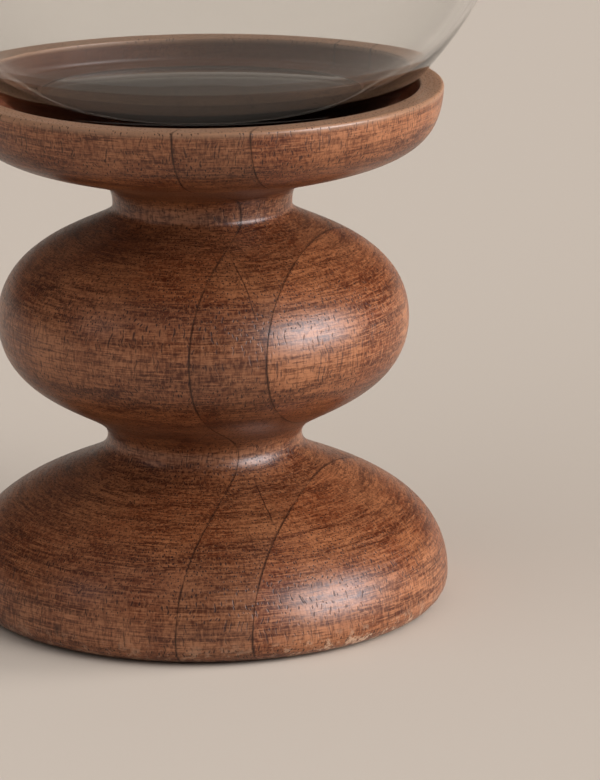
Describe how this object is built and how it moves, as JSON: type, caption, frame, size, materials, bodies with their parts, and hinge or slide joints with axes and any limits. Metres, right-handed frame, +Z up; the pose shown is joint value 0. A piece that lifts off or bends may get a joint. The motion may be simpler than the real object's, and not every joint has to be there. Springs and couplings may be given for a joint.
{
  "type": "hurricane candle holder",
  "caption": "Turned wooden pedestal with a foot, a round bulb and a shallow dish, carrying a thick-bottomed clear glass hurricane shade open at the top.",
  "frame": {"origin": "centre of the foot's underside, on the surface the holder stands on", "axes": "+Z up along the turning axis, towards the glass shade's mouth; -Y towards the viewer of the front; the glue lines lie on the +X side"},
  "size_m": [0.197, 0.197, 0.3476],
  "materials": {
    "stained_wood": "reddish-brown stain with open upright grain, satin",
    "black_felt": "short black felt, matt",
    "brown_felt": "short dark brown felt, matt",
    "clear_glass": "clear, smooth, fire-polished mouth"
  },
  "bodies": {
    "pedestal": {"pedestal_main_block": "stained_wood", "pedestal_middle_board": "stained_wood", "dish_side_board": "stained_wood", "bulb_side_board": "stained_wood", "foot_side_board": "stained_wood", "dish_liner": "black_felt", "foot_pad": "brown_felt"},
    "shade": {"glass_shade": "clear_glass"}
  },
  "joints": [
    {"name": "shade_lift", "type": "slide", "parent": "pedestal", "child": "shade", "axis": [0, 0, 1], "range_m": [0, 0.06]}
  ]
}
